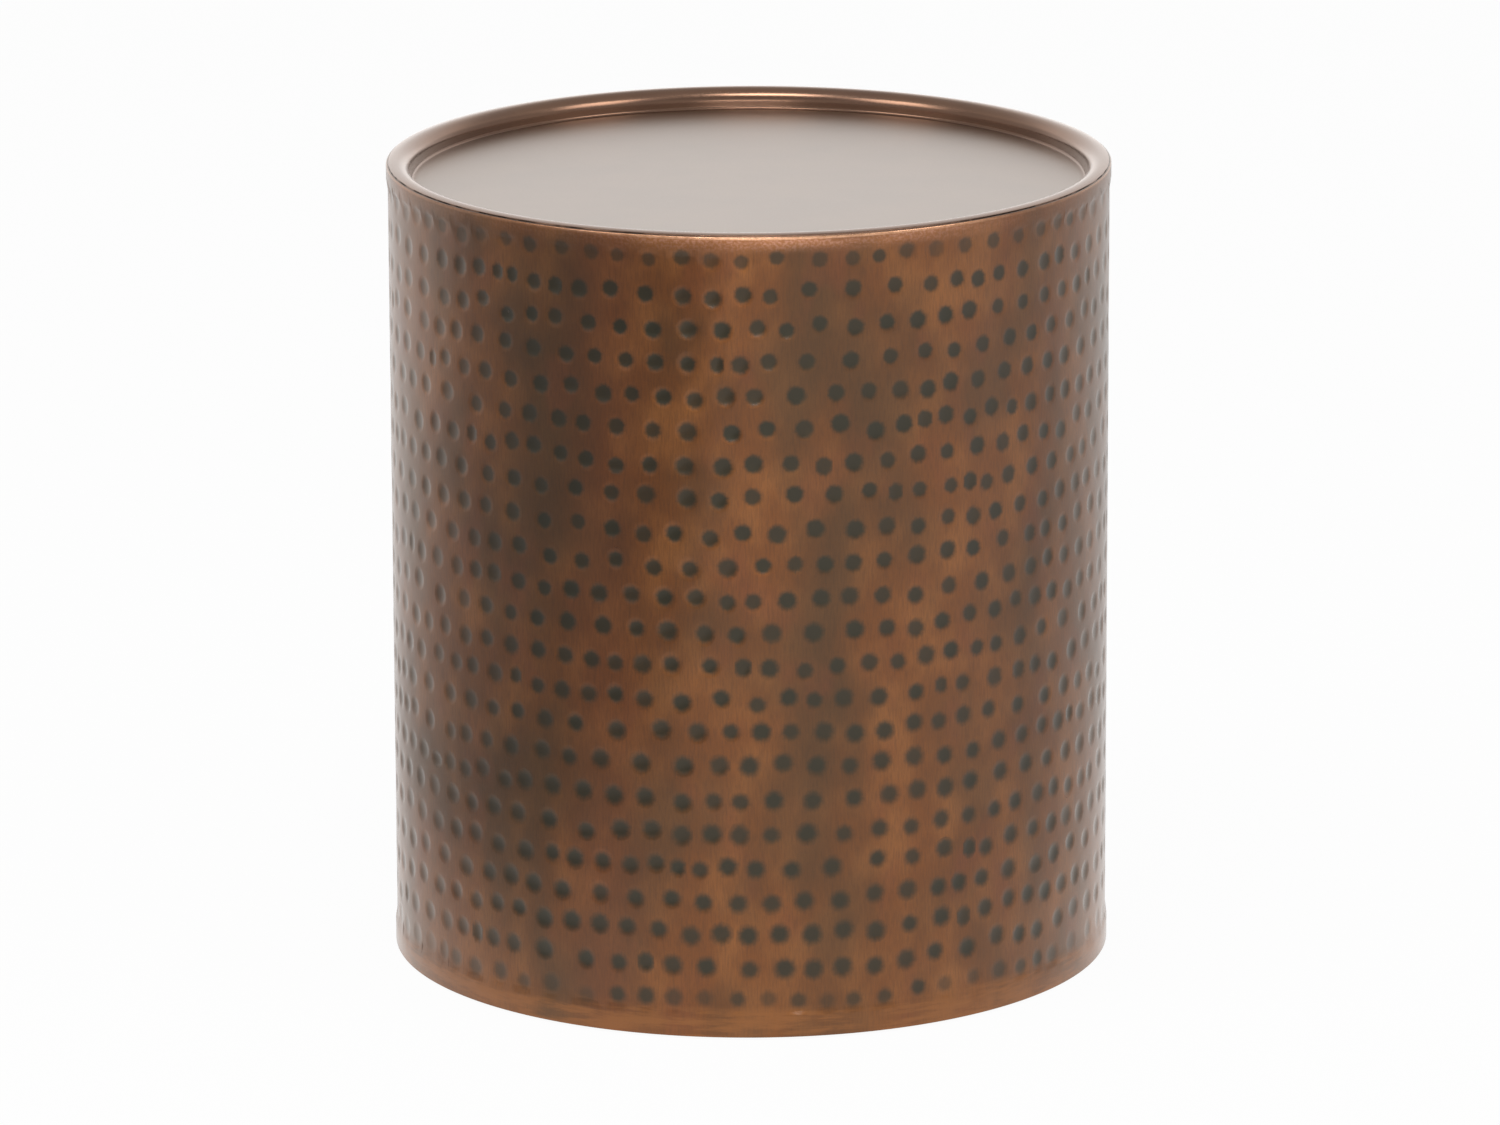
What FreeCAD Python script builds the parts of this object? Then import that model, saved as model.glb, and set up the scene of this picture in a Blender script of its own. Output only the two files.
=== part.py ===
import FreeCAD
import Part
import Sketcher
import math
import os
import re

# Drum side table: a hammered sheet drum, open below, closed by a spun dished top.
# Millimetres, +Z up, the origin on the floor at the drum's axis, the drum's brazed seam at the back (+Y).

SIZES = {
    # the drum
    "drum_diameter": (406.4, "outside, over the plain bands"),
    "drum_length": (451.5, "rolled sheet from edge to edge"),
    "shell_sheet": (1.2, "thickness of the drum's sheet"),
    "hammer_draw": (0.9, "how far the hammering draws the field in"),
    "foot_band": (12.0, "plain band left at the bottom edge"),
    "head_band": (8.0, "plain band left at the top edge"),
    "band_shoulder": (3.0, "height of the slope from a band to the field"),
    "strip_width": (25.0, "backing strip behind the drum's seam"),
    "strip_sheet": (1.2, "thickness of the backing strip"),
    "strip_margin": (8.0, "backing strip's ends short of the bands' shoulders"),
    # the dished top
    "pan_sheet": (1.0, "thickness of the top's sheet"),
    "mouth_fit": (0.1, "radial gap between the top's skirt and the drum's mouth"),
    "skirt_gap": (0.3, "height of the skirt's edge above the drum's inner shoulder"),
    "rim_rise": (1.3, "rim's crest above the drum's edge"),
    "crest_inset": (4.5, "rim's crest inside the top's outer face"),
    "crown_drop": (0.65, "rim's fall from its crest to the skirt"),
    "roll_bend": (6.0, "radius from the crest down into the dish's wall"),
    "dish_fillet": (3.0, "radius from the dish's wall into the foot of the roll"),
    "step_lean": (1.1, "how far the step from the roll's foot down to the flat leans in"),
    "dish_depth": (10.5, "flat of the dish below the drum's edge"),
    "bend_chords": (2, "straight stretches that stand for each bend of the top"),
    # the board that stiffens the top
    "board_thick": (9.0, "stiffening board"),
    "board_gap": (1.3, "board's edge inside the edge of the flat"),
    # the brackets under the board
    "bracket_count": (4, "brackets round the drum's wall"),
    "bracket_turn": (45.0, "azimuth of the first bracket, in degrees"),
    "bracket_sheet": (2.0, "thickness of a bracket"),
    "bracket_width": (30.0, "bracket along the wall"),
    "bracket_drop": (36.0, "leg on the wall"),
    "bracket_reach": (34.0, "leg under the board"),
    "bracket_bend": (2.0, "inside radius of the bend"),
    "bracket_corner": (6.0, "rounding of the free corners"),
    "rib_thick": (4.0, "rib pressed into the bend"),
    "rib_leg": (14.0, "rib along each leg"),
    "weld_fit": (0.1, "gap between the drum's wall and what is welded to it"),
    "bead_leg": (1.8, "weld bead along each of the faces it joins"),
    "bracket_bead": (26.0, "length of a bead beside a bracket"),
    # the screws into the board
    "screw_circle": (25.0, "screws inside the drum's wall"),
    "screw_width": (3.5, "screw's shank"),
    "screw_flats": (6.0, "screw's hexagon head across its flats"),
    "screw_crown": (2.4, "height of the screw's head"),
    "screw_length": (9.0, "screw under its head"),
    "screw_fit": (0.25, "radial gap where a screw passes through a bracket"),
    "pilot_margin": (0.5, "pilot hole beyond the screw's end"),
    # the ring that stiffens the bottom edge
    "ring_sheet": (3.0, "thickness of the flat ring"),
    "ring_width": (27.0, "ring from its outer edge to its inner one"),
    "ring_bead_count": (8, "weld beads round the ring"),
    "ring_bead_turn": (22.5, "azimuth of the first bead, in degrees"),
    "ring_bead": (25.0, "length of a bead on the ring"),
    # the feet
    "foot_count": (4, "feet round the ring"),
    "foot_turn": (45.0, "azimuth of the first foot, in degrees"),
    "foot_height": (7.0, "foot from the floor to the ring"),
    "foot_show": (1.5, "feet below the drum's edge"),
    "foot_width": (20.0, "diameter of a foot"),
    "foot_inset": (3.0, "foot from the ring's inner edge"),
    "stud_width": (5.0, "threaded stud moulded into a foot"),
    "stud_depth": (5.0, "stud inside the foot"),
    "stud_length": (15.0, "stud from end to end"),
    "stud_fit": (0.25, "radial gap where a stud passes through the ring"),
    "thread_fit": (0.1, "radial gap of a thread drawn plain"),
    "nut_flats": (8.0, "nut across its flats"),
    "nut_height": (4.0, "height of a nut"),
}

# Radii and levels that follow from the sizes.
PLACES = {
    "shell_radius": "drum_diameter / 2",
    "field_radius": "shell_radius - hammer_draw",
    "mouth_radius": "shell_radius - shell_sheet",
    "wall_radius": "field_radius - shell_sheet",
    "shell_top": "foot_show + drum_length",
    "foot_shoulder": "foot_show + foot_band",
    "field_base": "foot_shoulder + band_shoulder",
    "head_shoulder": "shell_top - head_band",
    "field_top": "head_shoulder - band_shoulder",
    "pan_radius": "mouth_radius - mouth_fit",
    "skirt_base": "head_shoulder + skirt_gap",
    "crest_radius": "pan_radius - crest_inset",
    "crest_height": "shell_top + rim_rise",
    "crown_level": "crest_height - crown_drop",
    "roll_level": "crest_height - roll_bend",
    "step_radius": "crest_radius - roll_bend - dish_fillet",
    "step_level": "roll_level - dish_fillet",
    "flat_level": "shell_top - dish_depth",
    "flat_radius": "step_radius - step_lean",
    "step_shift": "pan_sheet * tan(atan((step_level - flat_level) / step_lean) / 2)",
    "board_radius": "flat_radius - board_gap",
    "board_base": "flat_level - pan_sheet - board_thick",
    "welded_radius": "wall_radius - weld_fit",
    "bracket_base": "board_base - bracket_drop",
    "bracket_face": "sqrt(welded_radius * welded_radius - bracket_width * bracket_width / 4)",
    "bracket_tip": "bracket_face - bracket_reach",
    "bead_base": "bracket_base + (bracket_drop - bracket_bead) / 2 - bracket_bend",
    "bead_root": "sqrt(wall_radius * wall_radius - bracket_width * bracket_width / 4)",
    "bead_edge": "bracket_width / 2 + bead_leg",
    "bead_toe": "sqrt(wall_radius * wall_radius - bead_edge * bead_edge)",
    "screw_radius": "wall_radius - screw_circle",
    "screw_seat": "board_base - bracket_sheet",
    "ring_top": "foot_height + ring_sheet",
    "ring_radius": "mouth_radius - weld_fit",
    "ring_inner": "ring_radius - ring_width",
    "foot_radius": "ring_inner + foot_inset + foot_width / 2",
    "stud_base": "foot_height - stud_depth",
}

ROUNDING = 1e-6  # share by which two equal lengths may differ

doc = FreeCAD.newDocument("DrumSideTable")
sheet = doc.addObject("Spreadsheet::Sheet", "Sizes")
for row, (name, (size, meaning)) in enumerate(SIZES.items(), start=1):
    sheet.set(f"A{row}", name)
    sheet.set(f"B{row}", str(size))
    sheet.set(f"C{row}", meaning)
    sheet.setAlias(f"B{row}", name)
doc.recompute()


def bound(text):
    """The text as an expression on the sheet's cells, with each place spelled out."""

    def spelled(match):
        name = match.group()
        if name in PLACES:
            return f"({bound(PLACES[name])})"
        return f"Sizes.{name}" if name in SIZES else name

    return re.sub(r"[a-z_]+", spelled, text)


def value(text):
    """What the text comes to with the sheet's present numbers."""
    result = sheet.evalExpression(bound(text))
    return float(getattr(result, "Value", result))


# ---- sketches ----


def new_body(name, turn="0"):
    """An empty body named for its piece, turned about the drum's axis by so many degrees."""
    body = doc.addObject("PartDesign::Body", name)
    body.Label = name
    body.Placement = FreeCAD.Placement(FreeCAD.Vector(), FreeCAD.Rotation(FreeCAD.Vector(0, 0, 1), value(turn)))
    return body


def origin_part(body, role):
    return next(part for part in body.Origin.OriginFeatures if part.Role == role)


def new_sketch(body, plane, out="0", up="0"):
    """A sketch on one of the body's own planes, moved out from the axis or up from the floor."""
    sketch = body.newObject("Sketcher::SketchObject", body.Name + "_sketch")
    sketch.AttachmentSupport = [(origin_part(body, plane), "")]
    sketch.MapMode = "FlatFace"
    sketch.setExpression("AttachmentOffset.Base.x", bound(out))
    sketch.setExpression("AttachmentOffset.Base.z", bound(up))
    return sketch


def pin(sketch, edge, end, across, up):
    """Hold one end of an edge at a place given in the sheet's words."""
    for kind, axis, text in (("DistanceX", -2, across), ("DistanceY", -1, up)):
        if text == "0":
            sketch.addConstraint(Sketcher.Constraint("PointOnObject", edge, end, axis))
            continue
        held = sketch.addConstraint(Sketcher.Constraint(kind, -1, 1, edge, end, value(text)))
        sketch.setExpression(f"Constraints[{held}]", bound(text))


def add_edge(sketch, start, end, bend):
    """A line, or an arc whose radius is the bend; a bend led by a minus turns clockwise.

    Returns the edge and which of its ends lies at the start and at the end.
    """
    if not bend:
        return sketch.addGeometry(Part.LineSegment(start, end), False), 1, 2
    clockwise = bend.startswith("-")
    radius = value(bend.lstrip("-"))
    chord = end - start
    side = FreeCAD.Vector(-chord.y, chord.x, 0).normalize()
    reach = math.sqrt(max(radius**2 - (chord.Length / 2) ** 2, 0))
    centre = start + chord * 0.5 + side * (-reach if clockwise else reach)
    first, last = (end, start) if clockwise else (start, end)
    angles = [math.atan2(point.y - centre.y, point.x - centre.x) for point in (first, last)]
    circle = Part.Circle(centre, FreeCAD.Vector(0, 0, 1), radius)
    edge = sketch.addGeometry(Part.ArcOfCircle(circle, *angles), False)
    held = sketch.addConstraint(Sketcher.Constraint("Radius", edge, radius))
    sketch.setExpression(f"Constraints[{held}]", bound(bend.lstrip("-")))
    return (edge, 2, 1) if clockwise else (edge, 1, 2)


def draw(sketch, corners):
    """A closed outline through the corners: (across, up), or (across, up, bend to the next corner)."""
    points = [FreeCAD.Vector(value(corner[0]), value(corner[1]), 0) for corner in corners]
    bends = [corner[2] if len(corner) > 2 else "" for corner in corners]
    following = points[1:] + points[:1]
    edges = [add_edge(sketch, *ends) for ends in zip(points, following, bends)]
    for number, (edge, start, _) in enumerate(edges):
        before, _, end = edges[number - 1]
        sketch.addConstraint(Sketcher.Constraint("Coincident", before, end, edge, start))
        pin(sketch, edge, start, *corners[number][:2])


def draw_circle(sketch, radius, across="0", up="0"):
    centre = FreeCAD.Vector(value(across), value(up), 0)
    edge = sketch.addGeometry(Part.Circle(centre, FreeCAD.Vector(0, 0, 1), value(radius)), False)
    held = sketch.addConstraint(Sketcher.Constraint("Radius", edge, value(radius)))
    sketch.setExpression(f"Constraints[{held}]", bound(radius))
    pin(sketch, edge, 3, across, up)


def draw_hexagon(sketch, flats):
    """A hexagon about the sketch's origin, with two of its points in line with the drum's axis."""
    flat, point = f"{flats} / 2", f"{flats} / sqrt(3)"
    upper = [(point, "0"), (f"{point} / 2", flat), (f"-{point} / 2", flat)]
    lower = [(f"-{point}", "0"), (f"-{point} / 2", f"-{flat}"), (f"{point} / 2", f"-{flat}")]
    draw(sketch, upper + lower)


def chords(out, up, radius, start, end):
    """Corners along a bend about a centre, from one angle to another in degrees."""
    count = int(value("bend_chords"))
    angles = [f"({start} + ({end} - {start}) * {number} / bend_chords)" for number in range(count + 1)]
    return [(f"{out} + ({radius}) * cos{angle}", f"{up} + ({radius}) * sin{angle}") for angle in angles]


# ---- features ----


def revolve(body, corners, turn=None):
    """The outline turned about the drum's axis: a whole turn, or a part of one both ways."""
    sketch = new_sketch(body, "XZ_Plane")
    draw(sketch, corners)
    feature = body.newObject("PartDesign::Revolution", body.Name + "_revolution")
    feature.Profile = sketch
    feature.ReferenceAxis = (sketch, ["V_Axis"])
    feature.Angle = 360
    if turn:
        feature.setExpression("Angle", bound(turn))
        feature.Midplane = True
    doc.recompute()
    return feature


def pad(body, sketch, length, middle=False):
    feature = body.newObject("PartDesign::Pad", body.Name + "_pad")
    feature.Profile = sketch
    feature.setExpression("Length", bound(length))
    if middle:
        feature.SideType = "Symmetric"
    doc.recompute()
    return feature


def cut_hole(body, radius, out, up, depth):
    """A round hole cut upwards from a level, at a distance out from the drum's axis."""
    sketch = new_sketch(body, "XY_Plane", up=up)
    draw_circle(sketch, radius, across=out)
    whole = body.Shape.Volume
    feature = body.newObject("PartDesign::Pocket", body.Name + "_pocket")
    feature.Profile = sketch
    feature.Reversed = True
    feature.setExpression("Length", bound(depth))
    doc.recompute()
    if body.Shape.Volume >= whole:
        raise RuntimeError(f"{body.Label}: the hole cuts nothing")
    return feature


def repeat(body, features, count):
    """The features spaced evenly round the drum's axis."""
    pattern = body.newObject("PartDesign::PolarPattern", body.Name + "_pattern")
    pattern.Originals = features
    pattern.Axis = (origin_part(body, "Z_Axis"), [""])
    pattern.Angle = 360
    pattern.setExpression("Occurrences", bound(count))
    body.Tip = pattern
    doc.recompute()


def same(length, other):
    """Whether two lengths differ only by rounding."""
    return math.isclose(length, other, rel_tol=ROUNDING)


def round_edges(body, wanted, radius):
    """A fillet on those edges of the body as it stands that are wanted."""
    base = body.Tip
    edges = [f"Edge{number}" for number, edge in enumerate(base.Shape.Edges, start=1) if wanted(edge)]
    if not edges:
        raise RuntimeError(f"{body.Label}: no edge to round")
    feature = body.newObject("PartDesign::Fillet", body.Name + "_fillet")
    feature.Base = (base, edges)
    feature.setExpression("Radius", bound(radius))
    doc.recompute()


# ---- the drum ----


def drum_shell():
    """One rolled sheet: plain bands at both ends, and between them the field that hammering drew in."""
    body = new_body("drum_shell")
    revolve(
        body,
        [
            ("shell_radius", "foot_show"),
            ("shell_radius", "foot_shoulder"),
            ("field_radius", "field_base"),
            ("field_radius", "field_top"),
            ("shell_radius", "head_shoulder"),
            ("shell_radius", "shell_top"),
            ("mouth_radius", "shell_top"),
            ("mouth_radius", "head_shoulder"),
            ("wall_radius", "field_top"),
            ("wall_radius", "field_base"),
            ("mouth_radius", "foot_shoulder"),
            ("mouth_radius", "foot_show"),
        ],
    )


def seam_strip():
    """The strip brazed behind the drum's butt seam, between the two shoulders."""
    body = new_body("seam_strip", turn="90")
    base, top = "field_base + strip_margin", "field_top - strip_margin"
    revolve(
        body,
        [
            ("welded_radius - strip_sheet", base),
            ("welded_radius", base),
            ("welded_radius", top),
            ("welded_radius - strip_sheet", top),
        ],
        turn="2 * asin(strip_width / 2 / welded_radius)",
    )


# ---- the top ----


def top_pan():
    """The spun top, all of one thickness: skirt, low crown, roll, fillet, step and flat."""
    body = new_body("top_pan")
    under = "flat_level - pan_sheet"
    inner = "pan_radius - pan_sheet"
    fillet = ("step_radius", "roll_level")
    roll = ("crest_radius", "roll_level")
    revolve(
        body,
        [
            ("0", under),
            ("flat_radius + step_shift", under),
            ("step_radius + step_shift", "step_level - pan_sheet"),
            *chords(*fillet, "dish_fillet + pan_sheet", "-90", "0")[1:],
            *chords(*roll, "roll_bend - pan_sheet", "180", "90")[1:],
            (inner, "crown_level - pan_sheet"),
            (inner, "skirt_base"),
            ("pan_radius", "skirt_base"),
            ("pan_radius", "crown_level"),
            *chords(*roll, "roll_bend", "90", "180"),
            *chords(*fillet, "dish_fillet", "0", "-90")[1:],
            ("flat_radius", "flat_level"),
            ("0", "flat_level"),
        ],
    )


def deck_board():
    """The board glued under the flat so that the thin top doesn't drum or dent."""
    body = new_body("deck_board", turn="bracket_turn")
    sketch = new_sketch(body, "XY_Plane", up="board_base")
    draw_circle(sketch, "board_radius")
    pad(body, sketch, "board_thick")
    pilot_depth = "screw_length - bracket_sheet + pilot_margin"
    pilot = cut_hole(body, "screw_width / 2 + thread_fit", "screw_radius", "board_base", pilot_depth)
    repeat(body, [pilot], "bracket_count")


# ---- what carries the board ----


def deck_bracket(number):
    """A pressed angle with its side edges on the wall, a rib in its bend and a screw hole under the board."""
    body = new_body(f"deck_bracket_{number + 1}", turn=f"bracket_turn + {number} * 360 / bracket_count")
    outer_bend = "(bracket_bend + bracket_sheet)"
    angle = new_sketch(body, "XZ_Plane")
    draw(
        angle,
        [
            ("bracket_face", "bracket_base"),
            ("bracket_face", f"board_base - {outer_bend}", outer_bend),
            (f"bracket_face - {outer_bend}", "board_base"),
            ("bracket_tip", "board_base"),
            ("bracket_tip", "screw_seat"),
            (f"bracket_face - {outer_bend}", "screw_seat", "-bracket_bend"),
            ("bracket_face - bracket_sheet", f"board_base - {outer_bend}"),
            ("bracket_face - bracket_sheet", "bracket_base"),
        ],
    )
    pad(body, angle, "bracket_width", middle=True)
    rib = new_sketch(body, "XZ_Plane")
    into_leg = "bracket_sheet / 2"
    draw(
        rib,
        [
            (f"bracket_face - {into_leg}", f"board_base - {outer_bend}"),
            (f"bracket_face - {outer_bend}", f"board_base - {into_leg}"),
            ("bracket_face - bracket_sheet - rib_leg", f"board_base - {into_leg}"),
            ("bracket_face - bracket_sheet - rib_leg", "screw_seat"),
            ("bracket_face - bracket_sheet", "screw_seat - rib_leg"),
            (f"bracket_face - {into_leg}", "screw_seat - rib_leg"),
        ],
    )
    pad(body, rib, "rib_thick", middle=True)
    cut_hole(body, "screw_width / 2 + screw_fit", "screw_radius", "screw_seat", "bracket_sheet")
    tip = value("bracket_tip")
    thickness = value("bracket_sheet")

    def at_free_corner(edge):
        ends = [vertex.Point for vertex in edge.Vertexes]
        upright = len(ends) == 2 and same(abs(ends[0].z - ends[1].z), thickness)
        return upright and all(same(end.x, tip) for end in ends)

    round_edges(body, at_free_corner, "bracket_corner")


def bracket_weld_beads():
    """Fillet welds up both sides of every bracket, between its edge and the drum's wall."""
    body = new_body("bracket_weld_beads", turn="bracket_turn")
    sketch = new_sketch(body, "XY_Plane", up="bead_base")
    for side in ("", "-"):
        edge, far = f"{side}bracket_width / 2", f"{side}bead_edge"
        draw(sketch, [("bead_root", edge), ("bead_toe", far), ("bracket_face - bead_leg", edge)])
    bead = pad(body, sketch, "bracket_bead")
    repeat(body, [bead], "bracket_count")


def deck_screws():
    """Hexagon head screws driven up through the brackets into the board."""
    body = new_body("deck_screws", turn="bracket_turn")
    hexagon = new_sketch(body, "XY_Plane", out="screw_radius", up="screw_seat - screw_crown")
    draw_hexagon(hexagon, "screw_flats")
    head = pad(body, hexagon, "screw_crown")
    circle = new_sketch(body, "XY_Plane", out="screw_radius", up="screw_seat")
    draw_circle(circle, "screw_width / 2")
    shank = pad(body, circle, "screw_length")
    repeat(body, [head, shank], "bracket_count")


# ---- the bottom edge ----


def base_ring():
    """A flat ring inside the bottom band that keeps the drum round, drilled for the feet's studs."""
    body = new_body("base_ring", turn="foot_turn")
    sketch = new_sketch(body, "XY_Plane", up="foot_height")
    draw_circle(sketch, "ring_radius")
    draw_circle(sketch, "ring_inner")
    pad(body, sketch, "ring_sheet")
    hole = cut_hole(body, "stud_width / 2 + stud_fit", "foot_radius", "foot_height", "ring_sheet")
    repeat(body, [hole], "foot_count")


def ring_weld_beads():
    """Short fillet welds on the ring, between it and the drum's bottom band."""
    body = new_body("ring_weld_beads", turn="ring_bead_turn")
    bead = revolve(
        body,
        [
            ("mouth_radius - bead_leg", "ring_top"),
            ("mouth_radius", "ring_top"),
            ("mouth_radius", "ring_top + bead_leg"),
        ],
        turn="2 * asin(ring_bead / 2 / mouth_radius)",
    )
    repeat(body, [bead], "ring_bead_count")


# ---- the feet ----


def glide_foot(number):
    """A rubber foot moulded round the lower end of its stud."""
    body = new_body(f"glide_foot_{number + 1}", turn=f"foot_turn + {number} * 360 / foot_count")
    sketch = new_sketch(body, "XY_Plane", out="foot_radius")
    draw_circle(sketch, "foot_width / 2")
    pad(body, sketch, "foot_height")
    cut_hole(body, "stud_width / 2 + thread_fit", "foot_radius", "stud_base", "stud_depth")


def foot_studs():
    """Threaded studs that stand in the feet and pass through the ring."""
    body = new_body("foot_studs", turn="foot_turn")
    sketch = new_sketch(body, "XY_Plane", out="foot_radius", up="stud_base")
    draw_circle(sketch, "stud_width / 2")
    stud = pad(body, sketch, "stud_length")
    repeat(body, [stud], "foot_count")


def foot_nuts():
    """Hexagon nuts that hold the studs on the ring."""
    body = new_body("foot_nuts", turn="foot_turn")
    sketch = new_sketch(body, "XY_Plane", out="foot_radius", up="ring_top")
    draw_hexagon(sketch, "nut_flats")
    draw_circle(sketch, "stud_width / 2 + thread_fit")
    nut = pad(body, sketch, "nut_height")
    repeat(body, [nut], "foot_count")


def check_and_export():
    """Stop at the first object that failed; then write one file for each piece."""
    for item in doc.Objects:
        if {"Invalid", "Error"} & set(item.State):
            raise RuntimeError(f"{item.Label} failed: {item.State}")
    bodies = doc.findObjects("PartDesign::Body")
    for body in bodies:
        if body.Shape.isNull() or not body.Shape.isValid():
            raise RuntimeError(f"{body.Label} has no sound shape")
    os.makedirs("parts", exist_ok=True)
    for body in bodies:
        body.Shape.exportStep(f"parts/{body.Label}.step")
        print(f"{body.Label}: {len(body.Shape.Solids)} solid(s), {body.Shape.Volume:.1f} mm3")


drum_shell()
seam_strip()
top_pan()
deck_board()
for number in range(int(value("bracket_count"))):
    deck_bracket(number)
bracket_weld_beads()
deck_screws()
base_ring()
ring_weld_beads()
for number in range(int(value("foot_count"))):
    glide_foot(number)
foot_studs()
foot_nuts()
doc.recompute()
check_and_export()
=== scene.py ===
import math
import random

import bmesh
import bpy
from bpy.props import FloatProperty, FloatVectorProperty, IntProperty, PointerProperty
from mathutils import Matrix, Vector, noise


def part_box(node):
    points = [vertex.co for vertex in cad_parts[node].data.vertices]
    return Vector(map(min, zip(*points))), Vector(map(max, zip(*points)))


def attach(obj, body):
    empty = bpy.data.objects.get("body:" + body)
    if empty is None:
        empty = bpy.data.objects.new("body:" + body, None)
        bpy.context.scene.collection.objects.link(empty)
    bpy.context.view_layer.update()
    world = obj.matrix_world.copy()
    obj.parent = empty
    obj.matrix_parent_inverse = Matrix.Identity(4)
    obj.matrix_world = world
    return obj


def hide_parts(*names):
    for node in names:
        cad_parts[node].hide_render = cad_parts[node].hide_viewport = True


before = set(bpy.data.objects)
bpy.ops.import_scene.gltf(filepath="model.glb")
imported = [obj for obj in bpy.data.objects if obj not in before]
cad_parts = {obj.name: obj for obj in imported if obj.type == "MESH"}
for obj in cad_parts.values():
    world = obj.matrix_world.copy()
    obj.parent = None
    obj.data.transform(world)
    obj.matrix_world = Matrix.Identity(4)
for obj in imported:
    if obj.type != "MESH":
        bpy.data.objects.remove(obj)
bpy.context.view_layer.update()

bl_info = {
    "name": "Hammered Drum Table",
    "version": (1, 0, 0),
    "blender": (4, 5, 0),
    "location": "3D View > Sidebar > Drum Table",
    "description": "Builds a hammered copper-plated drum table round its packed frame",
    "category": "Object",
}

MM = 0.001
FULL_TURN = 2 * math.pi
SEAM_ANGLE = math.pi / 2  # the drum's brazed seam is at the back, on +Y

SHELL_LOW, SHELL_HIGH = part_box("drum_shell")
PAN_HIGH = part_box("top_pan")[1]
BOARD_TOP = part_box("deck_board")[1].z


def linear(colour):
    """The linear value of an sRGB hex colour, with full alpha."""
    channels = [int(colour[place : place + 2], 16) / 255 for place in (1, 3, 5)]
    return (*[c / 12.92 if c <= 0.04045 else ((c + 0.055) / 1.055) ** 2.4 for c in channels], 1.0)


def length(name, description, millimetres):
    """A length among the settings, given in millimetres."""
    return FloatProperty(
        name=name, description=description, default=millimetres * MM, unit="LENGTH", precision=5
    )


def power(name, description, watts):
    """A light's power among the settings, given in watts."""
    return FloatProperty(name=name, description=description, default=watts, unit="POWER")


def colour(name, description, value):
    """A colour among the settings, given as an sRGB hex value."""
    return FloatVectorProperty(
        name=name, description=description, default=linear(value), subtype="COLOR", size=4, min=0, max=1
    )


# ---- settings ----


class DrumSettings(bpy.types.PropertyGroup):
    """Sizes of the hammered drum."""

    sheet: length("Sheet", "Thickness of the drum's sheet", 1.2)
    draw: length("Draw", "How far hammering draws the field in from the plain bands", 0.9)
    foot_band: length("Foot band", "Plain band at the bottom edge", 12.0)
    head_band: length("Head band", "Plain band at the top edge", 8.0)
    shoulder: length("Shoulder", "Height of the slope between a band and the field", 3.0)
    filed_edge: length("Filed edge", "Rounding filed on the top edge", 0.8)
    first_row: length("First row", "Height of the lowest row of marks above the floor", 22.5)
    last_row: length("Last row", "Height of the highest row of marks above the floor", 440.0)
    rows: IntProperty(name="Rows", description="Rows of hammer marks", default=23, min=2)
    marks: IntProperty(name="Marks", description="Hammer marks in a row, on average", default=69, min=8)
    dent_radius: length("Dent radius", "Radius of the dent that one blow leaves", 6.7)
    dent_depth: length("Dent depth", "Depth of the dent that one blow leaves", 0.7)
    core_radius: length("Core radius", "Radius of the dark patina left in a dent", 4.9)
    wander: length("Wander", "How far a row strays from level", 1.5)
    seed: IntProperty(name="Seed", description="Seed of the uneven hammering", default=12)


class TopSettings(bpy.types.PropertyGroup):
    """Sizes of the spun top."""

    sheet: length("Sheet", "Thickness of the top's sheet", 1.0)
    crest_inset: length("Crest inset", "Rim's crest inside the top's outer face", 4.5)
    crown_bend: length("Crown bend", "Radius of the rim's low crown", 16.0)
    corner_bend: length("Corner bend", "Radius from the crown into the skirt", 0.4)
    roll_bend: length("Roll bend", "Radius from the crest down into the dish's wall", 8.1)
    fillet: length("Fillet", "Radius from the dish's wall into the flat", 1.8)
    skirt_base: length("Skirt base", "Height of the skirt's lower edge above the floor", 445.3)
    steps: IntProperty(name="Steps", description="Steps of the full spin", default=384, min=64)


class FinishSettings(bpy.types.PropertyGroup):
    """Colours of the finishes."""

    copper: colour("Copper", "Rubbed copper plate", "#7A4516")
    warm_copper: colour("Warm copper", "Copper plate where it was rubbed hardest", "#925A28")
    brown: colour("Brown patina", "Patina left in clouds on the copper", "#4E3518")
    olive: colour("Olive patina", "Deepest patina, in the dents", "#2F2A18")
    filed: colour("Filed copper", "Bare copper on the filed edge", "#F0B890")
    braze: colour("Braze", "Brazing brass in the drum's seam", "#A98242")
    bronze: colour("Bronze", "Lacquered bronze of the top", "#90694F")
    steel: colour("Steel", "Hot rolled steel inside the drum", "#4A4744")
    weld: colour("Weld", "Weld metal", "#6A625A")
    zinc: colour("Zinc", "Zinc-plated fasteners and brackets", "#A9ABAE")
    board: colour("Board", "Fibreboard under the top", "#8E6B45")
    rubber: colour("Rubber", "Moulded rubber of the feet", "#17171A")


class StudioSettings(bpy.types.PropertyGroup):
    """Camera and light."""

    distance: FloatProperty(
        name="Distance", description="Camera in front of the axis", default=5.012, unit="LENGTH"
    )
    height: FloatProperty(name="Height", description="Camera above the floor", default=1.5185, unit="LENGTH")
    tilt: FloatProperty(
        name="Tilt", description="Camera below level", default=math.radians(14.53), subtype="ANGLE"
    )
    roll: FloatProperty(
        name="Roll", description="Camera about its own line", default=math.radians(-0.199), subtype="ANGLE"
    )
    lens: FloatProperty(name="Lens", description="Focal length of the camera", default=219.3, unit="CAMERA")
    top_light: power("Top light", "Light high over the front", 9.0)
    front_light: power("Front light", "Low, wide light in front", 7.0)
    side_lights: power("Side lights", "Each of the two lights at the sides", 11.0)


# ---- meshes ----


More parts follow.
